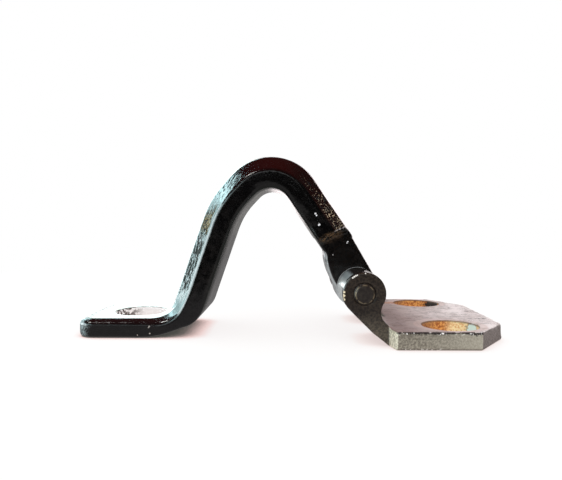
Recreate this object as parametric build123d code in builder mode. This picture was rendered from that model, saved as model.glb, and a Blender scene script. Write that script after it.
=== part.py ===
from build123d import *
from math import acos, atan2, cos, degrees, hypot, radians, sin, sqrt, tan
import os

# Trunk lid hinge, in millimetres. The origin is midway between the two body bolt holes, on the underside of
# the bracket's plate. X runs from the lid pad towards the bracket's free edge, Y along the pivot pin, Z up.
# Both the pad and the plate lie on z = 0, as when the lid is shut. Both sides of y = 0 are the same.

# Pivot
pivot_x = -29.2
pivot_z = 16.9
pin_diameter = 7.0
pin_stand_out = 0.6
pin_head_ring = 0.95
bush_clearance = 0.04
bush_wall = 1.0
bush_flange = 0.5
bush_flange_width = 1.4
bush_gap = 0.8
side_clearance = 0.1

# Body bracket
plate_thickness = 5.9
plate_length = 70.6
plate_free_edge = 19.0
plate_root_edge = 19.9
plate_root_flare = 1.3
plate_notch_edge = 18.8
plate_cut_x = 12.0
plate_cut_y = 16.0
plate_edge_round = 0.4
plate_corner_round = 0.8
body_hole_diameter = 18.2
body_hole_spacing = 47.8
lug_eye_diameter = 14.2
lug_set_back = 5.8
lug_back_angle = 45.0
lug_knee_height = 4.1
lug_neck_radius = 5.0
lug_edge_round = 0.5

# Lid arm: pad and bend
arm_width = 37.0
pad_thickness = 6.4
pad_hole_x = -109.5
pad_hole_diameter = 18.6
pad_end_margin = 18.5
pad_corner_radius = 6.0
heel_run = 13.5
heel_ramp_angle = 19.0
heel_radius = 30.0
bend_radius_under = 9.0
bend_radius_top = 16.0
rib_foot_radius = 6.0

# Lid arm: arch
foot_x = -87.0
left_leg_angle = 70.8
shoulder_radius = 29.0
upper_leg_run = 3.0
upper_leg_angle = 46.1
crown_radius = 7.4
right_leg_angle = 55.6
pivot_offset = 2.5
edge_thickness = 6.3
rib_thickness = 11.8
rib_crest_width = 12.0
rib_crest_drop = 0.6
rib_crest_bevel = 3.4
arm_edge_round = 1.2

# Lid arm: tang
tang_thickness = 14.8
tang_eye_diameter = 15.4
tang_blend_radius = 22.0
tang_edge_round = 1.6
shoulder_cut_radius = 19.0
shoulder_cut_corner = 2.5
shoulder_cut_overlap = 1.0

os.makedirs("parts", exist_ok=True)

arm_half = arm_width / 2
tang_half = tang_thickness / 2
plate_half = plate_length / 2
lug_inner_y = tang_half + bush_flange + side_clearance
lug_outer_y = plate_half - lug_set_back
bush_diameter = pin_diameter + 2 * (bush_clearance + bush_wall)
tang_reach = shoulder_cut_radius + shoulder_cut_corner
pivot = Vector(pivot_x, pivot_z)


def heading(angle):
    """Unit vector at an angle above +X, in the side view."""
    return Vector(cos(radians(angle)), sin(radians(angle)))


def meet(start, start_angle, end, end_angle):
    """Where a line through start and a line through end cross, each line given by its angle."""
    along = heading(start_angle)
    other = heading(end_angle)
    gap = end - start
    return start + along * ((gap.X * other.Y - gap.Y * other.X) / (along.X * other.Y - along.Y * other.X))


def side_view(y):
    """The side view's plane, at a place along the pivot."""
    return Plane.XZ.offset(-y)


def arm_side(y, rise, foot_radius):
    """The arm's side outline at one place across its width, as thick as rise along the arch."""
    pad_end = pad_hole_x - pad_end_margin
    leg_foot = Vector(foot_x, 0)
    heel = leg_foot - Vector(heel_run, 0)
    toe = meet(heel, heel_ramp_angle, leg_foot, left_leg_angle)
    leg_outward = heading(90 - right_leg_angle)
    leg_end = pivot + heading(180 - right_leg_angle) * leg_end_reach - leg_outward * pivot_offset
    apex = meet(leg_foot, left_leg_angle, leg_end, -right_leg_angle)
    shoulder = apex - heading(left_leg_angle) * apex_reach
    crown = meet(shoulder, upper_leg_angle, leg_end, -right_leg_angle)
    leg_end_out = leg_end + leg_outward * rise
    leg_foot_out = leg_foot + heading(left_leg_angle + 90) * rise
    upper_leg_out = shoulder + heading(upper_leg_angle + 90) * rise
    shoulder_out = meet(leg_foot_out, left_leg_angle, upper_leg_out, upper_leg_angle)
    crown_out = meet(shoulder_out, upper_leg_angle, leg_end_out, -right_leg_angle)
    foot_out = meet(Vector(0, pad_thickness), 0, leg_foot_out, left_leg_angle)
    with BuildSketch(side_view(y)) as outline:
        with BuildLine():
            under = FilletPolyline(
                (pad_end, 0), heel, toe, shoulder, crown, leg_end,
                radius=[heel_radius, bend_radius_under, shoulder_radius, crown_radius],
            )
            over = FilletPolyline(
                leg_end_out, crown_out, shoulder_out, foot_out, (pad_end, pad_thickness),
                radius=[crown_radius + rise, shoulder_radius + rise, foot_radius],
            )
            Line(under @ 1, over @ 0)
            Line(over @ 1, under @ 0)
        make_face()
    return outline.sketch


def tang_view(y):
    """A plane across the pivot: its first direction runs up the right leg, its second out of the arch."""
    up_leg = heading(180 - right_leg_angle)
    return Plane(origin=(pivot_x, y, pivot_z), x_dir=(up_leg.X, 0, up_leg.Y), z_dir=(0, 1, 0))


# The upper leg is a straight run between two bends. It cuts off the apex where the legs' lines would meet.
shoulder_turn = left_leg_angle - upper_leg_angle
crown_turn = upper_leg_angle + right_leg_angle
shoulder_share = shoulder_radius * tan(radians(shoulder_turn / 2))
crown_share = crown_radius * tan(radians(crown_turn / 2))
upper_leg = shoulder_share + upper_leg_run + crown_share
apex_reach = upper_leg * sin(radians(crown_turn)) / sin(radians(shoulder_turn + crown_turn))

# The wide part of the leg ends just inside the shoulder cut's circle
leg_end_reach = sqrt(shoulder_cut_radius**2 - (rib_thickness - pivot_offset) ** 2) - shoulder_cut_overlap

# The shoulder cut: all that is beside the tang near the pivot is cut away, leaving a round hollow shoulder
with BuildPart() as shoulder_cutter:
    with BuildSketch(tang_view(tang_half)):
        Circle(tang_reach)
    extrude(amount=arm_width)
    fillet(shoulder_cutter.edges().sort_by(Axis.Y)[0], radius=shoulder_cut_corner)

# The tang: from the rib's full height down to a round eye, hollow on its inner side, with soft rims
eye = tang_eye_diameter / 2
crest_side = rib_thickness - pivot_offset
blend_u = sqrt((eye + tang_blend_radius) ** 2 - (pivot_offset + tang_blend_radius) ** 2)
blend_centre = Vector(blend_u, -pivot_offset - tang_blend_radius)
crest_distance = hypot(tang_reach, crest_side)
touch_angle = degrees(atan2(crest_side, tang_reach) + acos(eye / crest_distance))
with BuildPart() as tang:
    with BuildSketch(tang_view(-tang_half)):
        with BuildLine():
            crest_line = Line((tang_reach, crest_side), heading(touch_angle) * eye)
            inner_touch = blend_centre.normalized() * eye
            eye_arc = ThreePointArc(crest_line @ 1, (-eye, 0), inner_touch)
            blend = RadiusArc(eye_arc @ 1, (blend_u, -pivot_offset), -tang_blend_radius)
            Polyline(blend @ 1, (tang_reach, -pivot_offset), crest_line @ 0)
        make_face()
    extrude(amount=tang_thickness)
    rims = tang.faces().filter_by(Axis.Y).edges()
    up_leg = Axis((pivot_x, 0, pivot_z), tang_view(0).x_dir)
    fillet(rims.sort_by(up_leg)[:-2], radius=tang_edge_round)

# The arm is forged in one piece. Its flanks slope up from the thin edges to a rib with a soft crest.
with BuildPart() as hinge_arm:
    crest_half = rib_crest_width / 2
    steps = [
        (arm_half, edge_thickness, bend_radius_top),
        (crest_half + rib_crest_bevel, rib_thickness - rib_crest_drop, rib_foot_radius),
        (crest_half, rib_thickness, rib_foot_radius),
    ]
    front = [arm_side(-y, rise, foot_radius) for y, rise, foot_radius in steps]
    rear = [arm_side(y, rise, foot_radius) for y, rise, foot_radius in reversed(steps)]
    loft(front + rear, ruled=True)
    pad_corners = hinge_arm.edges().filter_by(Axis.Z).group_by(Axis.X)[0].sort_by(Axis.Y)
    fillet([pad_corners[0], pad_corners[-1]], radius=pad_corner_radius)
    sides = hinge_arm.faces().filter_by(Axis.Y).sort_by(Axis.Y)
    fillet(sides[0].edges() + sides[-1].edges(), radius=arm_edge_round)
    add(shoulder_cutter.part, mode=Mode.SUBTRACT)
    mirror(shoulder_cutter.part, about=Plane.XZ, mode=Mode.SUBTRACT)
    add(tang.part)
    with BuildSketch(side_view(-arm_half)):
        with Locations((pivot_x, pivot_z)):
            Circle(bush_diameter / 2)
    extrude(amount=-arm_width, mode=Mode.SUBTRACT)
    with Locations((pad_hole_x, 0, pad_thickness)):
        Hole(pad_hole_diameter / 2)

hinge_arm.part.label = "hinge_arm"
export_step(hinge_arm.part, "parts/hinge_arm.step")

# The bracket is forged in one piece: a plate with two cut corners, and two lugs along its root edge
with BuildPart() as body_bracket:
    # Each lug's side view: a round eye, a straight back, a kinked foot, and a hollow neck above the plate
    lug_eye = lug_eye_diameter / 2
    back_touch = pivot + heading(-90 - lug_back_angle) * lug_eye
    knee = meet(back_touch, -lug_back_angle, Vector(0, lug_knee_height), 0)
    lug_foot_edge = plate_root_edge + plate_root_flare
    neck_height = plate_thickness + lug_neck_radius
    neck_x = pivot_x + sqrt((lug_eye + lug_neck_radius) ** 2 - (pivot_z - neck_height) ** 2)
    neck_touch = pivot + (Vector(neck_x, neck_height) - pivot).normalized() * lug_eye
    with BuildSketch(side_view(-lug_outer_y), side_view(lug_inner_y)):
        with BuildLine():
            neck = RadiusArc((neck_x, plate_thickness), neck_touch, lug_neck_radius)
            lug_top = ThreePointArc(neck @ 1, pivot + heading(135) * lug_eye, back_touch)
            Polyline(lug_top @ 1, knee, (-lug_foot_edge, 0), (neck_x, 0), neck @ 0)
        make_face()
    extrude(amount=-(lug_outer_y - lug_inner_y))
    fillet(body_bracket.faces().filter_by(Axis.Y).edges(), radius=lug_edge_round)

    with BuildSketch():
        with BuildLine():
            half = Polyline(
                (-plate_notch_edge, 0),
                (-plate_notch_edge, lug_inner_y),
                (-lug_foot_edge, lug_inner_y),
                (-lug_foot_edge, lug_outer_y),
                (-plate_root_edge, plate_half),
                (plate_free_edge - plate_cut_x, plate_half),
                (plate_free_edge, plate_half - plate_cut_y),
                (plate_free_edge, 0),
            )
            mirror(half, about=Plane.XZ)
        make_face()
    extrude(amount=plate_thickness)
    corners = body_bracket.edges().filter_by(Axis.Z).filter_by(lambda edge: edge.center().X > 0)
    fillet(corners, radius=plate_corner_round)
    rims = body_bracket.faces().filter_by(Axis.Z).edges()
    fillet(rims.filter_by(lambda rim: rim.center().X > -plate_root_edge / 2), radius=plate_edge_round)

    with BuildSketch(side_view(-lug_outer_y)):
        with Locations((pivot_x, pivot_z)):
            Circle(pin_diameter / 2)
    extrude(amount=-2 * lug_outer_y, mode=Mode.SUBTRACT)
    with BuildSketch():
        with GridLocations(0, body_hole_spacing, 1, 2):
            Circle(body_hole_diameter / 2)
    extrude(amount=plate_thickness, mode=Mode.SUBTRACT)

body_bracket.part.label = "body_bracket"
export_step(body_bracket.part, "parts/body_bracket.step")

# The pin is riveted in both lugs: each end stands proud, with a ring swaged round it
with BuildPart() as pivot_pin:
    pin_half = lug_outer_y + pin_stand_out
    with BuildSketch(side_view(-pin_half)):
        with Locations((pivot_x, pivot_z)):
            Circle(pin_diameter / 2)
    extrude(amount=-2 * pin_half)
    chamfer(pivot_pin.edges(), length=pin_stand_out, length2=pin_head_ring)

pivot_pin.part.label = "pivot_pin"
export_step(pivot_pin.part, "parts/pivot_pin.step")

# A flanged bush is pressed into each side of the tang's eye. Its flange keeps the tang off the lug.
with BuildPart() as front_bush:
    with BuildSketch(side_view(-tang_half)):
        with Locations((pivot_x, pivot_z)):
            Circle(bush_diameter / 2)
    extrude(amount=-(tang_half - bush_gap / 2))
    with BuildSketch(side_view(-tang_half)):
        with Locations((pivot_x, pivot_z)):
            Circle(bush_diameter / 2 + bush_flange_width)
    extrude(amount=bush_flange)
    with BuildSketch(side_view(-tang_half - bush_flange)):
        with Locations((pivot_x, pivot_z)):
            Circle(pin_diameter / 2 + bush_clearance)
    extrude(amount=-tang_half - bush_flange, mode=Mode.SUBTRACT)

front_bush.part.label = "front_bush"
export_step(front_bush.part, "parts/front_bush.step")

with BuildPart() as rear_bush:
    mirror(front_bush.part, about=Plane.XZ)

rear_bush.part.label = "rear_bush"
export_step(rear_bush.part, "parts/rear_bush.step")
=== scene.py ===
import bmesh
import bpy
from math import radians
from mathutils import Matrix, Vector, noise


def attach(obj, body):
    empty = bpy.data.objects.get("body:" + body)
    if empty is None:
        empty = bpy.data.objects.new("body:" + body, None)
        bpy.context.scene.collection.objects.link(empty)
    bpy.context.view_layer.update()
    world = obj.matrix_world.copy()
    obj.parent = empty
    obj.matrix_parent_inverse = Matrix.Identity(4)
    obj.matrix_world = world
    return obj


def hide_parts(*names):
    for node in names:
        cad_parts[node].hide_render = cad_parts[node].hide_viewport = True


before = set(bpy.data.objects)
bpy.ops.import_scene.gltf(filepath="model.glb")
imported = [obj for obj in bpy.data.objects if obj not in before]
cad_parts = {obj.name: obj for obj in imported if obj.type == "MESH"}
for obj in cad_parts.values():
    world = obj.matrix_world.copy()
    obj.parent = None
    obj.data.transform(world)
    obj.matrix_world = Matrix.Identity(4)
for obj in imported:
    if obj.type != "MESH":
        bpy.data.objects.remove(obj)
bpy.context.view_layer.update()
scene = bpy.context.scene
scene.view_settings.view_transform = "Standard"


# Camera: low in front of the hinge and left of its middle, as in the photo, and almost level. It looks
# along the pivot, and its focal length is given in pixels of the photo's width.
photo_width = 562
focal_pixels = 536.463
tilt_down = 2.174
turn_left = 0.737
camera_data = bpy.data.cameras.new("camera")
camera_data.sensor_width = 36.0
camera_data.lens = camera_data.sensor_width * focal_pixels / photo_width
camera_data.clip_start = 0.01
camera = bpy.data.objects.new("camera", camera_data)
camera.location = (-0.054055, -0.202230, 0.0410)
camera.rotation_euler = (radians(90 - tilt_down), 0, radians(turn_left))
scene.collection.objects.link(camera)
scene.camera = camera


# Studio: a pale floor and two soft lamps, with white all round for the camera. Reflections see a room: a
# bright cool window with an olive bar behind on the left, a lower pale wall behind on the right, dark red
# wood above both, a small ceiling lamp, and a dark camera side with one soft strip.
class Value:
    """One output of a shader node. Arithmetic on it adds Math nodes to the same tree."""

    def __init__(self, nodes, socket):
        self.nodes = nodes
        self.socket = socket

    def math(self, operation, *others):
        return self.nodes.add("Math", {"operation": operation}, dict(enumerate((self,) + others)))

    def __add__(self, other):
        return self.math("ADD", other)

    def __sub__(self, other):
        return self.math("SUBTRACT", other)

    def __mul__(self, other):
        return self.math("MULTIPLY", other)

    def __rsub__(self, other):
        return self * -1.0 + other

    __radd__ = __add__
    __rmul__ = __mul__

    def step(self, low, high):
        """0 at low, 1 at high and smooth between. With low above high it falls instead."""
        rises = low < high
        ends = {"From Min": min(low, high), "From Max": max(low, high)}
        ends.update({"To Min": 0.0 if rises else 1.0, "To Max": 1.0 if rises else 0.0})
        return self.nodes.add("MapRange", {"interpolation_type": "SMOOTHSTEP"}, {"Value": self, **ends})

    def band(self, low, high, soft):
        """1 between low and high and 0 outside, over a soft border."""
        return self.step(low - soft, low + soft) * self.step(high + soft, high - soft)


class Nodes:
    """A node tree written as expressions."""

    def __init__(self, tree):
        self.tree = tree
        tree.nodes.clear()

    def add(self, kind, settings=None, sockets=None, output=0):
        """Any node: its settings first, then the values or links of its sockets."""
        node = self.tree.nodes.new("ShaderNode" + kind)
        for name, setting in (settings or {}).items():
            setattr(node, name, setting)
        for name, value in (sockets or {}).items():
            slot = node.inputs[name]
            if isinstance(value, Value):
                self.tree.links.new(value.socket, slot)
            else:
                slot.default_value = value + (1.0,) if slot.type == "RGBA" else value
        return Value(self, node.outputs[output]) if node.outputs else node

    def mix(self, share, low, high):
        """The colour low where share is 0 and high where it is 1."""
        return self.add("Mix", {"data_type": "RGBA"}, {0: share, 6: low, 7: high}, 2)

    def split(self, vector):
        parts = self.add("SeparateXYZ", None, {0: vector}).socket.node.outputs
        return [Value(self, part) for part in parts]

    def noise(self, place, scale, detail, roughness, stretch=None):
        """Cloudy noise from about 0.25 to 0.75, with scale cells to a metre."""
        if stretch:
            place = self.add("Mapping", None, {"Vector": place, "Scale": stretch})
        sockets = {"Vector": place, "Scale": scale, "Detail": detail, "Roughness": roughness}
        return self.add("TexNoise", None, sockets)

    def bump(self, height, distance, strength, under=None):
        sockets = {"Height": height, "Distance": distance, "Strength": strength}
        if under:
            sockets["Normal"] = under
        return self.add("Bump", None, sockets)

    def spots(self, place, ragged, balls):
        """1 inside each ball (x, y, z, radius) in millimetres, with a ragged border."""
        mask = None
        for ball in balls:
            *middle, radius = (value / 1000 for value in ball)
            reach = self.add("VectorMath", {"operation": "DISTANCE"}, {0: place, 1: middle}, "Value")
            spot = (reach + (ragged - 0.5) * (radius * 1.6)).step(radius, radius * 0.82)
            mask = mask.math("MAXIMUM", spot) if mask else spot
        return mask


def new_finish(name):
    """A new material and its empty node tree."""
    material = bpy.data.materials.new(name)
    material.use_nodes = True
    return material, Nodes(material.node_tree)


world = bpy.data.worlds.new("studio")
world.use_nodes = True
scene.world = world
sky = Nodes(world.node_tree)
across, depth, height = sky.split(sky.add("TexCoord", output="Generated"))

# What stands behind the hinge: the window on the left, the wall on the right, and a grey low zone under both.
left = across.step(-0.06, -0.20)
olive_bar = height.band(0.27, 0.36, 0.02) * across.step(-0.50, -0.46)
dark_wood = (0.045, 0.007, 0.007)
window = sky.mix(across.step(-0.48, -0.42), (1.35, 1.95, 2.0), (2.6, 2.9, 2.9))
window = sky.mix(height.step(0.36, 0.40), window, (4.2, 6.2, 6.5))
window = sky.mix(olive_bar, window, (1.9, 1.75, 1.05))
window = sky.mix(across.step(-0.78, -0.88), window, (6.5, 7.6, 7.8))
window = sky.mix(height.step(0.460, 0.485), window, dark_wood)
wall = sky.mix(height.step(0.19, 0.22), (2.3, 2.1, 2.1), (0.050, 0.009, 0.007))
behind = sky.mix(left, wall, window)
haze = height.step(0.25, 0.19) * across.step(-0.04, -0.005) * (across + height * 0.8).step(0.26, 0.22)
behind = sky.mix(haze, behind, (0.42, 0.42, 0.39))
low = height.step(-0.02, -0.10) * across.step(-0.70, -0.50).math("MAXIMUM", height.step(-0.18, -0.30))
behind = sky.mix(low, behind, (0.24, 0.23, 0.23))

# The dark camera side with its strip, the ceiling and the lamp in it.
strip = height.band(0.27, 0.40, 0.02) * depth.step(-0.40, -0.60) * across.step(0.30, 0.15)
front = sky.mix(strip, (0.004, 0.004, 0.005), (1.6, 1.6, 1.6))
far_side = depth.step(0.30, 0.55).math("MAXIMUM", left * (depth + across * 0.4).step(-1.00, -0.86))
room = sky.mix(far_side, front, behind)
room = sky.mix(height.step(0.60, 0.80), room, (0.12, 0.012, 0.010))
lamp_way = Vector((-0.50, -0.12, 0.86)).normalized()
towards_lamp = across * lamp_way.x + depth * lamp_way.y + height * lamp_way.z
room = sky.mix(towards_lamp.step(0.993, 0.997), room, (26.0, 26.0, 25.0))
seen = sky.mix(sky.add("LightPath", output="Is Glossy Ray"), (0.86, 0.86, 0.87), room)
seen = sky.mix(sky.add("LightPath", output="Is Camera Ray"), seen, (1.0, 1.0, 1.0))
sky.add("OutputWorld", None, {"Surface": sky.add("Background", None, {"Color": seen})})

floor_radius = 0.24
floor_middle = (-0.054, 0.10, -0.0001)
bm = bmesh.new()
bmesh.ops.create_circle(bm, cap_ends=True, segments=96, radius=floor_radius)
bmesh.ops.translate(bm, verts=bm.verts, vec=floor_middle)
floor_mesh = bpy.data.meshes.new("floor")
bm.to_mesh(floor_mesh)
bm.free()
floor = bpy.data.objects.new("floor", floor_mesh)
scene.collection.objects.link(floor)

# The floor glows almost white, with a painted shadow from ambient occlusion that darkens it to pink and brown
# close under the metal, most under the arm, and less beside the bracket.
# Reflections see it grey, and as bright as the window far out on the left.
floor_finish, cover = new_finish("pale_floor")
x, y, _ = cover.split(cover.add("TexCoord", output="Object"))
paper = cover.add("BsdfDiffuse", None, {"Color": (0.16, 0.19, 0.19)})
openness = cover.add("AmbientOcclusion", {"samples": 8}, {"Distance": 0.009}, "AO")
# Painted shadow: the glow's tint follows ambient occlusion, and is kept lighter beside the bracket.
lighter_shadow_by_bracket = x.step(-0.065, -0.040)
contact_shadow = cover.mix(lighter_shadow_by_bracket, (0.050, 0.050, 0.042), (0.80, 0.68, 0.66))
near_shadow = cover.mix(lighter_shadow_by_bracket, (0.90, 0.62, 0.59), (0.96, 0.84, 0.82))
shadow_tint = cover.mix(openness.step(0.15, 0.50), contact_shadow, near_shadow)
shadow_tint = cover.mix(openness.step(0.45, 0.80), shadow_tint, (1.0, 0.955, 0.95))
glow = cover.add("Emission", None, {"Color": shadow_tint, "Strength": 0.865})
lit = cover.add("AddShader", None, {0: paper, 1: glow})
window_side = x.step(-0.150, -0.175) * y.step(-0.14, -0.12)
sheen = cover.mix(window_side, (0.24, 0.23, 0.23), (5.0, 5.9, 6.0))
mirrored = cover.add("Emission", None, {"Color": sheen, "Strength": 1.0})
in_reflection = cover.add("LightPath", output="Is Glossy Ray")
surface = cover.add("MixShader", None, {0: in_reflection, 1: lit, 2: mirrored})
cover.add("OutputMaterial", None, {"Surface": surface})
floor_mesh.materials.append(floor_finish)


def lamp(name, place, size, power, colour):
    """A soft square lamp aimed at the hinge. Reflections show the room instead of it."""
    data = bpy.data.lights.new(name, "AREA")
    data.size = size
    data.energy = power
    data.color = colour
    aim = Vector((-0.05, 0.0, 0.02)) - Vector(place)
    lamp_object = bpy.data.objects.new(name, data)
    lamp_object.location = place
    lamp_object.rotation_euler = aim.to_track_quat("-Z", "Y").to_euler()
    lamp_object.visible_glossy = False
    scene.collection.objects.link(lamp_object)


lamp("key", (-0.5, 0.3, 1.1), 0.9, 3.0, (0.96, 1.0, 1.0))
lamp("fill", (0.5, -0.9, 0.5), 0.6, 3.0, (1.0, 0.99, 0.95))


# Arm: one steel forging in gloss black paint, which turns on the pin by its narrow tang and is bolted to the
# lid by its pad. Hammering left its edges soft, and pits with dust in them on the flanks beside its rib. The
# rest is smooth, with small chips and bare steel in the pad's hole. Painted shade darkens the arch's hollow,
# and painted highlights and reflections lie on the tang's left side, the pad's end, the ledge and the higher
# chips.
def soften(bm, verts, passes):
    """Rounds the edges between these vertices a little more with each pass."""
    for _ in range(passes):
        bmesh.ops.smooth_vert(bm, verts=verts, factor=0.5, use_axis_x=True, use_axis_y=True, use_axis_z=True)


def forged(name, node, quad, passes):
    """A welded copy of a CAD node in even quads of this size, its edges softened."""
    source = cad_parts[node].data.copy()
    bm = bmesh.new()
    bm.from_mesh(source)
    bmesh.ops.remove_doubles(bm, verts=bm.verts, dist=1e-6)
    bm.to_mesh(source)
    bm.free()
    rough = bpy.data.objects.new(name + "_rough", source)
    scene.collection.objects.link(rough)
    remesh = rough.modifiers.new("even", "REMESH")
    remesh.mode = "VOXEL"
    remesh.voxel_size = quad
    bpy.context.view_layer.update()
    mesh = bpy.data.meshes.new_from_object(rough.evaluated_get(bpy.context.evaluated_depsgraph_get()))
    bpy.data.objects.remove(rough)
    bm = bmesh.new()
    bm.from_mesh(mesh)
    soften(bm, bm.verts, passes)
    bm.to_mesh(mesh)
    bm.free()
    mesh.name = name
    mesh.materials.clear()
    piece = bpy.data.objects.new(name, mesh)
    scene.collection.objects.link(piece)
    return piece


def ease(value, low, high):
    """0 at low, 1 at high, smooth between."""
    share = min(max((value - low) / (high - low), 0.0), 1.0)
    return share * share * (3.0 - 2.0 * share)


def inside_ridge(x, z, ridge):
    """How far a point lies on the arch's inner side of the ridge line, in metres, or 0 outside it."""
    best = None
    for (ax, az), (bx, bz) in zip(ridge, ridge[1:]):
        run = Vector((bx - ax, bz - az))
        out = Vector((x - ax, z - az))
        share = min(max(out.dot(run) / run.length_squared, 0.0), 1.0)
        gap = (out - run * share).length
        side = run.x * out.y - run.y * out.x
        if best is None or gap < best[0]:
            best = (gap, side)
    return best[0] if best[1] < 0 else 0.0


arm = forged("arm", "hinge_arm", quad=0.00043, passes=2)
arch_middle = Vector((-0.058, 0.0, 0.022))
arm_half_width = 0.0185
rib_half_width = 0.0085
swell_depth = 0.00005
bolt_leg_pit = 0.00026
pivot_leg_pit = 0.00006
pad_top = 0.0064
pad_end = -0.128
pad_corner = 0.006
pad_bevel = 0.0028
bevel_slope = 0.36
facet_depth = 0.0007
front_ridge = [
    (-0.0700, 0.0520), (-0.0656, 0.0545), (-0.0615, 0.0553), (-0.0574, 0.0547), (-0.0530, 0.0519),
    (-0.0492, 0.0478), (-0.0457, 0.0440), (-0.0427, 0.0385), (-0.0400, 0.0345),
]
normals = [vert.normal.copy() for vert in arm.data.vertices]
flank_shares = []
pit_shares = []
hollow_shade_shares = []
for vert, normal in zip(arm.data.vertices, normals):
    x, y, z = vert.co
    outward = Vector((x - arch_middle.x, 0.0, z - arch_middle.z)).normalized()
    faces_out = normal.dot(outward)
    on_bolt_leg = x < arch_middle.x

    # The two flanks beside the rib, and the pits left in them.
    off_edge = ease(arm_half_width - abs(y), 0.0012, 0.0028)
    off_rib = ease(abs(y), rib_half_width + 0.0002, rib_half_width + 0.0022)
    if on_bolt_leg:
        on_leg = ease(z, pad_top + 0.004, pad_top + 0.012) * ease(z, 0.060, 0.054)
        on_leg *= 1.0 - 0.75 * ease(z, 0.038, 0.050)
    else:
        on_leg = ease(x, -0.056, -0.046) * ease(z, 0.033, 0.038)
    flank_share = ease(faces_out, 0.35, 0.65) * off_edge * off_rib * on_leg
    coarse = noise.noise(Vector((x * 700.0, y * 900.0, z * 420.0))) + 0.4 * noise.noise(vert.co * 1500.0)
    pit_share = flank_share * ease(coarse, 0.05, 0.30)
    swell = swell_depth * noise.noise(vert.co * 130.0) * ease(z, 0.0002, 0.002)
    vert.co += normal * (swell - pit_share * (bolt_leg_pit if on_bolt_leg else pivot_leg_pit))

    # Painted shade: the hollow of the arch is marked for a dull dark coat, more on its front half.
    hollow = ease(-faces_out, 0.45, 0.80) * ease(z, 0.004, 0.010)
    flank_shares.append(flank_share)
    pit_shares.append(pit_share)
    hollow_shade_shares.append(hollow * max(ease(-y, 0.002, 0.0172), 0.6 * ease(y, 0.0140, 0.0182)))

    # The pad's top edge slopes off, and more widely where it runs into the bend.
    if x < -0.088:
        corner_x = max(pad_end + pad_corner - x, 0.0)
        corner_y = max(abs(y) - arm_half_width + pad_corner, 0.0)
        from_edge = pad_corner - Vector((corner_x, corner_y)).length
        bevel = pad_bevel + 0.0030 * ease(x, -0.104, -0.094)
        drop = bevel_slope * max(bevel - from_edge, 0.0) * ease(x, -0.0882, -0.0925)
        vert.co.z -= drop * ease(z, 0.0035, 0.0060)

    # A facet leans in along the arch's inner edge, from the crown down the pivot leg.
    if x > -0.072 and z > 0.030:
        lean = ease(inside_ridge(x, z, front_ridge), 0.0, 0.0034) * ease(abs(y), 0.0140, 0.0183)
        lean *= ease(x, -0.071, -0.064) * ease(z, 0.034, 0.039)
        vert.co.y -= facet_depth * lean * (1.0 if y > 0 else -1.0)
for name, values in (("flank", flank_shares), ("pits", pit_shares), ("hollow_shade", hollow_shade_shares)):
    arm.data.attributes.new(name, "FLOAT", "POINT").data.foreach_set("value", values)
arm.data.shade_smooth()
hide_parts("hinge_arm")
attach(arm, "arm")

arm_finish, paint = new_finish("black_paint")
place = paint.add("TexCoord", output="Object")
x, y, z = paint.split(place)
facing_x = paint.split(paint.add("TexCoord", output="Normal"))[0]
beside = y.math("ABSOLUTE")
pits = paint.add("Attribute", {"attribute_name": "pits"}, output="Fac")
flank = paint.add("Attribute", {"attribute_name": "flank"}, output="Fac")
hollow_shade = paint.add("Attribute", {"attribute_name": "hollow_shade"}, output="Fac")
grain = paint.noise(place, 1500.0, 3.0, 0.6)
specks = paint.noise(place, 1000.0, 2.0, 0.6)
mottle = paint.noise(place, 160.0, 4.0, 0.6)
ragged = paint.noise(place, 1200.0, 2.0, 0.5)
patches = paint.noise(place, 420.0, 4.0, 0.65)

# The black coat: painted shade makes it blacker high on the crown and painted light makes it greyer low down;
# it is browner on the tang.
colour = paint.mix(patches.step(0.44, 0.62), (0.0013, 0.0012, 0.0012), (0.0062, 0.0055, 0.0052))
# Painted shade high on the crown, painted light low down.
colour = paint.mix(z.step(0.038, 0.050) * 0.8, colour, (0.0012, 0.0010, 0.0010))
colour = paint.mix(z.step(0.020, 0.008) * 0.7, colour, (0.0046, 0.0042, 0.0046))
tang = x.step(-0.0415, -0.0385) * z.step(0.0365, 0.0340)
colour = paint.mix(tang * grain.step(0.46, 0.62), colour, (0.0070, 0.0042, 0.0028))

# Golden dust specks on the pivot leg's flanks, and a brown painted highlight on the ledge where the rib ends.
pivot_leg = x.step(-0.058, -0.050)
sparse = paint.noise(place, 1300.0, 2.0, 0.6) - z.step(0.039, 0.056) * 0.09 + 0.02
gilt = sparse.step(0.59, 0.63) * flank * z.band(0.036, 0.054, 0.004) * pivot_leg
colour = paint.mix(gilt, colour, (0.56, 0.45, 0.31))
# Painted highlight: a brown streak of light on the ledge's fillet.
ledge_x = -0.0388
ledge_z = 0.0347
along = x - ledge_x
above = (z - ledge_z - along * 0.25) * 2.2
ledge_highlight = (along * along + above * above).math("SQRT").step(0.0060, 0.0012)
ledge_highlight = ledge_highlight * paint.noise(place, 700.0, 3.0, 0.7).step(0.36, 0.60) * beside.step(0.0065, 0.0085)
colour = paint.mix(ledge_highlight, colour, (0.150, 0.085, 0.040))

# Painted light and wear: a painted reflection on the tang's left side and on the pad's end, the hole's bare
# steel painted near white as a reflection with painted shade at its left, and the chips, the higher ones
# painted highlights.
# Painted reflection: a pale band on the tang's left side.
painted_reflection_band = z.step(0.0300, 0.0285) * x.step(-0.0470, -0.0450) * facing_x.step(-0.35, -0.60)
painted_reflection_band = painted_reflection_band * mottle.step(0.22, 0.42) * beside.step(0.0090, 0.0080)
colour = paint.mix(painted_reflection_band * 0.9, colour, (0.56, 0.60, 0.61))
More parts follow.
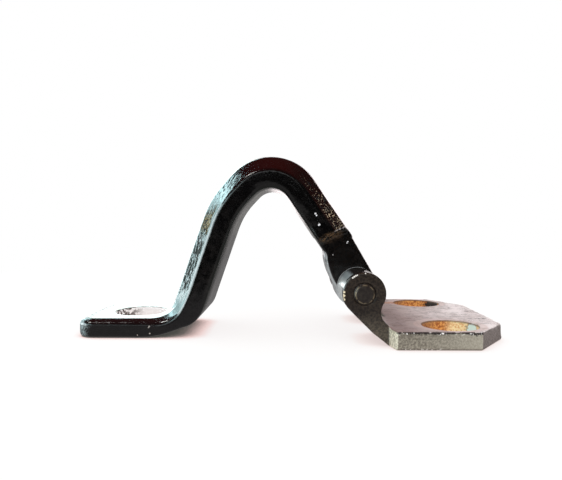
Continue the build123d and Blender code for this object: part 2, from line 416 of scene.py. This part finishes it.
# Painted reflection: cyan-grey specks on the pad's end, where its corner mirrors the room.
end_reflection_specks = x.step(-0.1225, -0.1260) * specks.step(0.44, 0.56)
colour = paint.mix(end_reflection_specks * 0.8, colour, (0.20, 0.26, 0.27))
pad_hole_x = -0.1095
pad_hole_radius = 0.0093
from_bolt = x - pad_hole_x
from_hole = (from_bolt * from_bolt + y * y).math("SQRT") - pad_hole_radius
# The hole's wall is bare steel, painted near white as a reflection, with painted shade on its left side.
bare_and_reflected = from_hole.step(0.0005, 0.0002) * z.step(0.0002, 0.0006)
hole_wall_shade = paint.noise(place, 700.0, 3.0, 0.6).step(0.45, 0.54) * x.step(-0.110, -0.1165)
steel = paint.mix(hole_wall_shade, (1.0, 0.98, 0.97), (0.10, 0.075, 0.065))
colour = paint.mix(bare_and_reflected, colour, steel)
chips_and_glints = paint.spots(place, ragged, [
    (-103.3, -18.5, 5.7, 0.32), (-102.7, -18.5, 5.6, 0.28), (-102.1, -18.5, 4.1, 0.30),
    (-102.3, -18.5, 3.7, 0.26), (-100.3, -18.5, 5.2, 0.26), (-101.9, -18.5, 1.6, 0.26),
    (-106.2, -18.5, 1.0, 0.22), (-44.6, -18.4, 43.1, 0.36), (-44.3, -18.4, 42.5, 0.34),
    (-43.9, -18.3, 40.9, 0.22), (-43.6, -18.2, 40.0, 0.36), (-43.3, -18.2, 39.2, 0.46),
    (-42.9, -18.2, 38.8, 0.28), (-32.3, -7.4, 33.0, 0.26), (-32.6, -7.4, 32.5, 0.24),
    (-37.7, -7.4, 28.2, 0.18), (-114.0, 18.5, 4.5, 0.4), (-92.0, 18.4, 9.0, 0.3), (-62.0, 18.5, 55.0, 0.4),
])
# The higher chips, on the right leg and the tang, are lighter: painted highlights. The low ones on the pad
# are chips.
chip_and_glint_colour = paint.mix(z.step(0.020, 0.036), (0.36, 0.33, 0.30), (0.72, 0.73, 0.75))
colour = paint.mix(chips_and_glints, colour, chip_and_glint_colour)

# The gloss: a faint orange peel, with pocks on the bolt leg's flanks.
dull = (chips_and_glints + bare_and_reflected + end_reflection_specks).math("MINIMUM", 1.0)
roughness = mottle.step(0.3, 0.7) * 0.10 + 0.14 + pits * 0.30 + dull * 0.35 + tang * 0.04
peel = paint.bump(grain, 0.0003, 0.15)
peel = paint.bump(paint.noise(place, 380.0, 3.0, 0.6), 0.0008, 0.20, peel)
pocks = specks * flank * (1.0 - pivot_leg * 0.85) * (1.0 - z.step(0.040, 0.050) * 0.7)
pocked = paint.bump(pocks, 0.0010, 0.5, peel)
gloss = paint.add("BsdfPrincipled", None, {
    "Base Color": colour, "Roughness": roughness, "Normal": pocked, "IOR": 1.5, "Coat Roughness": 0.08,
    "Coat Weight": (pits + dull).step(1.0, 0.2) * 0.4})

# Dull soot in the pits, the same dull dark coat as painted shade in the arch's hollow, and olive on the upper
# part of the bolt leg.
olive = z.band(0.037, 0.0490, 0.003) * flank * (1.0 - pivot_leg)
bloom = paint.mix(olive * specks.step(0.56, 0.46), (0.008, 0.010, 0.008), (0.24, 0.205, 0.105))
soot_and_shade = paint.add("BsdfPrincipled", None, {"Base Color": bloom, "Roughness": 0.6, "Specular IOR Level": 0.08})
sparser = z.step(0.044, 0.050) * 0.35 + z.step(0.022, 0.014) * 0.12 - olive * 0.75
middle = z.band(0.013, 0.036, 0.004) * 0.36
blotches = (pits + (specks - 0.5) * 1.5 + middle - sparser).step(0.22, 0.58) * flank.step(0.2, 0.8)
# The hollow's painted shade joins the soot here.
blotches = (blotches * (1.0 - pivot_leg * 0.5)).math("MAXIMUM", hollow_shade * 0.8)
shell = paint.add("MixShader", None, {0: blotches, 1: gloss, 2: soot_and_shade})
paint.add("OutputMaterial", None, {"Surface": shell})
arm.data.materials.append(arm_finish)


# Bracket: one steel forging, a plate that is bolted to the body and two lugs that hold the pin. It has a thin
# grey coat, scratched on top, torn along the front edge, dark and oily on the lugs and rusted in the bolt
# holes. The end with the cut corners is hammered softer than the rest.
bracket = forged("bracket", "body_bracket", quad=0.0004, passes=1)
soft_end_x = 0.0125
soft_end_foot = 0.0012
bm = bmesh.new()
bm.from_mesh(bracket.data)
soft_end = [vert for vert in bm.verts if vert.co.x > soft_end_x and vert.co.z > soft_end_foot]
soften(bm, soft_end, passes=24)
bm.to_mesh(bracket.data)
bm.free()
bracket.data.update()
normals = [vert.normal.copy() for vert in bracket.data.vertices]
ripple_depth = 0.00006
dent_depth = 0.00022
inset = 0.00004
for vert, normal in zip(bracket.data.vertices, normals):
    x, y, z = vert.co
    ripple = ripple_depth * noise.noise(Vector((x * 150.0, y * 260.0, z * 200.0)))
    dent = dent_depth * noise.noise(vert.co * 420.0) * ease(x, 0.012, 0.017) - inset
    vert.co += normal * (ripple + min(dent, 0.0)) * ease(z, 0.0002, 0.002)
bracket.data.shade_smooth()
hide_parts("body_bracket")
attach(bracket, "bracket")

bracket_finish, primer = new_finish("grey_primer")
place = primer.add("TexCoord", output="Object")
x, y, z = primer.split(place)
facing_x, facing_y, facing_z = primer.split(primer.add("TexCoord", output="Normal"))
beside = y.math("ABSOLUTE")
cloud = primer.noise(place, 120.0, 5.0, 0.6)
fine = primer.noise(place, 1500.0, 3.0, 0.6)
ragged = primer.noise(place, 900.0, 3.0, 0.6)
on_top = facing_z.step(0.5, 0.9)
edge_face = beside.step(0.0346, 0.0351)

# The coat: dusty and greenish on the edges, pinkish grey and scratched on top. The top grows lighter towards
# the right end as a painted reflection, and the right-facing cut corners are mauve-brown and darker as
# painted shade.
dust = primer.noise(place, 1500.0, 4.0, 0.75)
side_coat = primer.mix(dust.step(0.33, 0.67), (0.115, 0.098, 0.072), (0.340, 0.310, 0.250))
side_coat = primer.mix(cloud.step(0.45, 0.60) * z.step(0.003, 0.005) * 0.4, side_coat, (0.100, 0.085, 0.060))
side_coat = primer.mix(x.step(-0.015, 0.012) * 0.5, side_coat, (0.50, 0.47, 0.385))
# Painted shade: the right-facing cut corners are darker, in their own mauve-brown.
cut_corner = primer.mix(fine.step(0.4, 0.6), (0.120, 0.095, 0.088), (0.210, 0.175, 0.160))
side_coat = primer.mix(facing_x.step(0.30, 0.70), side_coat, cut_corner)
# Painted reflection: the top grows lighter towards the right end.
top_coat = primer.mix(x.step(-0.018, 0.012), (0.34, 0.235, 0.22), (0.88, 0.79, 0.78))
top_coat = primer.mix(cloud.step(0.40, 0.65) * 0.35, top_coat, (0.33, 0.23, 0.21))
wave = primer.noise(place, 520.0, 4.0, 0.65, (0.25, 1.0, 1.0))
scratches = (wave - 0.5).math("ABSOLUTE").step(0.030, 0.004) * cloud.step(0.36, 0.50)
top_coat = primer.mix(scratches * 0.85, top_coat, (0.13, 0.09, 0.085))
coat = primer.mix(on_top, side_coat, top_coat)

# The bolt holes: a pale ring round each and orange rust inside, darker on the left and along the top of the
# wall as painted shade, with gold and a pale cyan patch of painted light in the front one, a dark patch in
# the rear one, and a rust print beside that.
hole_middle_y = 0.0239
hole_radius = 0.0091
from_bolt = beside - hole_middle_y
from_hole = (x * x + from_bolt * from_bolt).math("SQRT") - hole_radius
ring = from_hole.band(0.0004, 0.0028, 0.0003) * on_top
coat = primer.mix(ring * 0.35, coat, (0.62, 0.42, 0.37))
rust = primer.mix(fine.step(0.38, 0.60), (0.36, 0.10, 0.02), (0.78, 0.36, 0.09))
# Painted shade on the left of each hole's wall.
rust = primer.mix(x.step(-0.001, -0.006) * 0.6, rust, (0.20, 0.085, 0.040))
gold = primer.mix(fine.step(0.36, 0.56), (0.80, 0.46, 0.18), (1.0, 0.84, 0.48))
rust = primer.mix(x.step(0.000, 0.004) * y.step(0.0, -0.001), rust, gold)
# Painted light: a pale cyan spot with a darker border in the front hole.
light_spot_border = primer.spots(place, ragged, [(8.6, -20.6, 3.6, 3.0)])
rust = primer.mix(light_spot_border, rust, (0.33, 0.36, 0.28))
painted_light_spot = primer.spots(place, ragged, [(8.6, -20.6, 3.6, 2.5)])
rust = primer.mix(painted_light_spot, rust, (0.78, 1.0, 0.94))
# A dark patch in the rear hole.
rear_dark_patch = primer.spots(place, ragged, [(7.6, 27.5, 4.0, 4.6)])
rust = primer.mix(rear_dark_patch, rust, (0.022, 0.016, 0.012))
# Painted shade along the top of each hole's wall.
rust = primer.mix(z.step(0.0050, 0.0056) * 0.8, rust, (0.16, 0.095, 0.060))
printed = primer.spots(place, ragged, [(-9.6, 24.3, 6.2, 2.6), (-12.2, 24.0, 6.2, 2.2)]) * on_top
coat = primer.mix(printed * 0.8, coat, (0.42, 0.17, 0.085))
in_hole = from_hole.step(0.00045, 0.00015) * z.step(0.0001, 0.0004)
coat = primer.mix(in_hole, coat, rust)

# The lugs: brown-black and oily, darker towards the left and lighter lower down, with a pale step where each
# meets the plate's edge.
lug_start = -0.0212
on_lug = (x * -1.0 + lug_start + (cloud - 0.5) * 0.0015).step(0.0000, 0.0004)
lug_face = primer.mix(fine.step(0.38, 0.62), (0.012, 0.008, 0.006), (0.040, 0.029, 0.020))
lug_face = primer.mix((x + z * 0.5).step(-0.0200, -0.0290) * 0.5, lug_face, (0.016, 0.010, 0.008))
lug_low = primer.mix(fine.step(0.36, 0.64), (0.050, 0.040, 0.028), (0.115, 0.094, 0.066))
lug_coat = primer.mix(z.step(0.012, 0.002), lug_face, lug_low)
coat = primer.mix(on_lug, coat, lug_coat)
step_face = x.band(lug_start, -0.0196, 0.0003) * beside.step(0.0292, 0.0300) * on_top.step(0.6, 0.3)
step_coat = primer.mix(fine.step(0.4, 0.6), (0.46, 0.44, 0.32), (0.90, 0.88, 0.72))
coat = primer.mix(step_face, coat, step_coat)

# The torn front edge: a broken dark line under its rim, white flakes on it and at its foot, and nicks on top.
broken = primer.noise(place, 400.0, 4.0, 0.75)
torn = (z + (broken - 0.5) * 0.0035 + x.step(0.000, 0.012) * 0.0006).step(0.0050, 0.0054)
coat = primer.mix(torn * edge_face * broken.step(0.40, 0.45), coat, (0.030, 0.022, 0.020))
flakes = primer.noise(place, 850.0, 3.0, 0.7).step(0.59, 0.63)
coat = primer.mix(z.step(0.0046, 0.0052) * edge_face * flakes, coat, (0.92, 0.90, 0.87))
foot = z.step(0.0009, 0.0002) * edge_face
coat = primer.mix(foot * 0.7, coat, (0.12, 0.10, 0.08))
coat = primer.mix(foot * flakes * x.step(0.005, -0.005), coat, (0.80, 0.78, 0.72))
nicks = primer.spots(place, ragged, [
    (15.6, -11.9, 5.9, 0.9), (13.6, -12.6, 5.9, 0.5), (10.9, 30.5, 5.9, 1.2),
])
coat = primer.mix(nicks, coat, (0.04, 0.03, 0.028))

# The front lug's painted highlights: white glints along its rim, and cream ones on its left.
glints = primer.spots(place, ragged, [
    (-31.6, -29.4, 23.1, 0.24), (-32.1, -29.4, 22.9, 0.26), (-32.6, -29.4, 22.6, 0.26),
    (-33.1, -29.4, 22.2, 0.24), (-29.0, -29.4, 23.7, 0.28), (-22.3, -29.3, 18.9, 0.30),
    (-22.1, -29.2, 18.0, 0.26),
])
coat = primer.mix(glints, coat, (0.90, 0.88, 0.82))
# Painted highlights in cream on the lug's left.
cream_glints = primer.spots(place, ragged, [
    (-35.9, -29.3, 17.6, 0.55), (-36.1, -29.0, 16.4, 0.75), (-35.8, -29.1, 15.2, 0.60),
    (-36.2, -28.3, 15.9, 0.60),
])
coat = primer.mix(cream_glints, coat, (0.80, 0.70, 0.48))

# Each lug's barrel is blackest; the front one has a pale painted reflection on its left and a painted
# highlight along its far rim.
oily = on_lug * z.step(0.006, 0.014)
barrel = oily * facing_y.math("ABSOLUTE").step(0.75, 0.35)
coat = primer.mix(barrel * 0.8, coat, (0.012, 0.010, 0.009))
# Painted reflection: a pale band on the front lug's left.
painted_reflection_band = barrel * facing_x.step(-0.42, -0.62) * y.band(-0.0266, -0.0110, 0.0006)
reflection_band_colour = primer.mix(facing_x.step(-0.74, -0.93), (0.48, 0.56, 0.575), (0.90, 0.98, 0.97))
coat = primer.mix(painted_reflection_band * 0.9, coat, reflection_band_colour)
# Painted highlight along the front lug's far rim.
far_rim_highlight = barrel * y.band(-0.0108, -0.0080, 0.0002) * facing_x.step(0.55, 0.40) * broken.step(0.30, 0.45)
coat = primer.mix(far_rim_highlight * 0.9, coat, (0.78, 0.82, 0.82))

roughness = 0.50 + (cloud - 0.5) * 0.3 - oily * 0.16 - barrel * 0.22 + in_hole * 0.2
brushed = primer.bump(wave * on_top * (1.0 - oily), 0.0006, 0.4)
shine = primer.bump(fine * (1.0 - oily * 0.8), 0.0003, 0.35, brushed)
shell = primer.add("BsdfPrincipled", None, {"Base Color": coat, "Roughness": roughness, "Normal": shine})
primer.add("OutputMaterial", None, {"Surface": shell})
bracket.data.materials.append(bracket_finish)


# Pin: a plain steel pin through both lugs and the tang, riveted at its ends. They are dark, with a thin
# brassy ring where each was swaged round.
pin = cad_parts["pivot_pin"]
pivot_x = -0.0292
pivot_z = 0.0169
pin_finish, steel = new_finish("riveted_steel")
place = steel.add("TexCoord", output="Object")
x, _, z = steel.split(place)
from_x = x - pivot_x
from_z = z - pivot_z
from_axis = (from_x * from_x + from_z * from_z).math("SQRT")
cloud = steel.noise(place, 900.0, 4.0, 0.6)
swaged = (from_axis + (cloud - 0.5) * 0.0004).band(0.00285, 0.00312, 0.00012) * cloud.step(0.38, 0.58)
colour = steel.mix(cloud.step(0.35, 0.65), (0.022, 0.016, 0.014), (0.040, 0.032, 0.026))
colour = steel.mix(from_axis.step(0.00312, 0.00330) * 0.5, colour, (0.016, 0.011, 0.008))
colour = steel.mix(swaged, colour, (0.21, 0.165, 0.10))
peened = steel.bump(cloud, 0.0003, 0.4)
shell = steel.add("BsdfPrincipled", None, {
    "Base Color": colour, "Roughness": 0.45, "Metallic": 0.3, "Normal": peened})
steel.add("OutputMaterial", None, {"Surface": shell})
pin.data.materials.clear()
pin.data.materials.append(pin_finish)


# Bushes: two flanged sleeves of plain bronze, pressed into the tang's eye from its two sides. They run on the
# pin in oil, hidden between the lugs.
bush_finish, bronze = new_finish("oily_bronze")
place = bronze.add("TexCoord", output="Object")
cloud = bronze.noise(place, 500.0, 3.0, 0.6)
colour = bronze.mix(cloud.step(0.35, 0.65), (0.30, 0.18, 0.07), (0.50, 0.33, 0.14))
shell = bronze.add("BsdfPrincipled", None, {
    "Base Color": colour, "Roughness": cloud * 0.3 + 0.25, "Metallic": 0.9})
bronze.add("OutputMaterial", None, {"Surface": shell})
for node in ("front_bush", "rear_bush"):
    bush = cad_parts[node]
    bush.data.materials.clear()
    bush.data.materials.append(bush_finish)
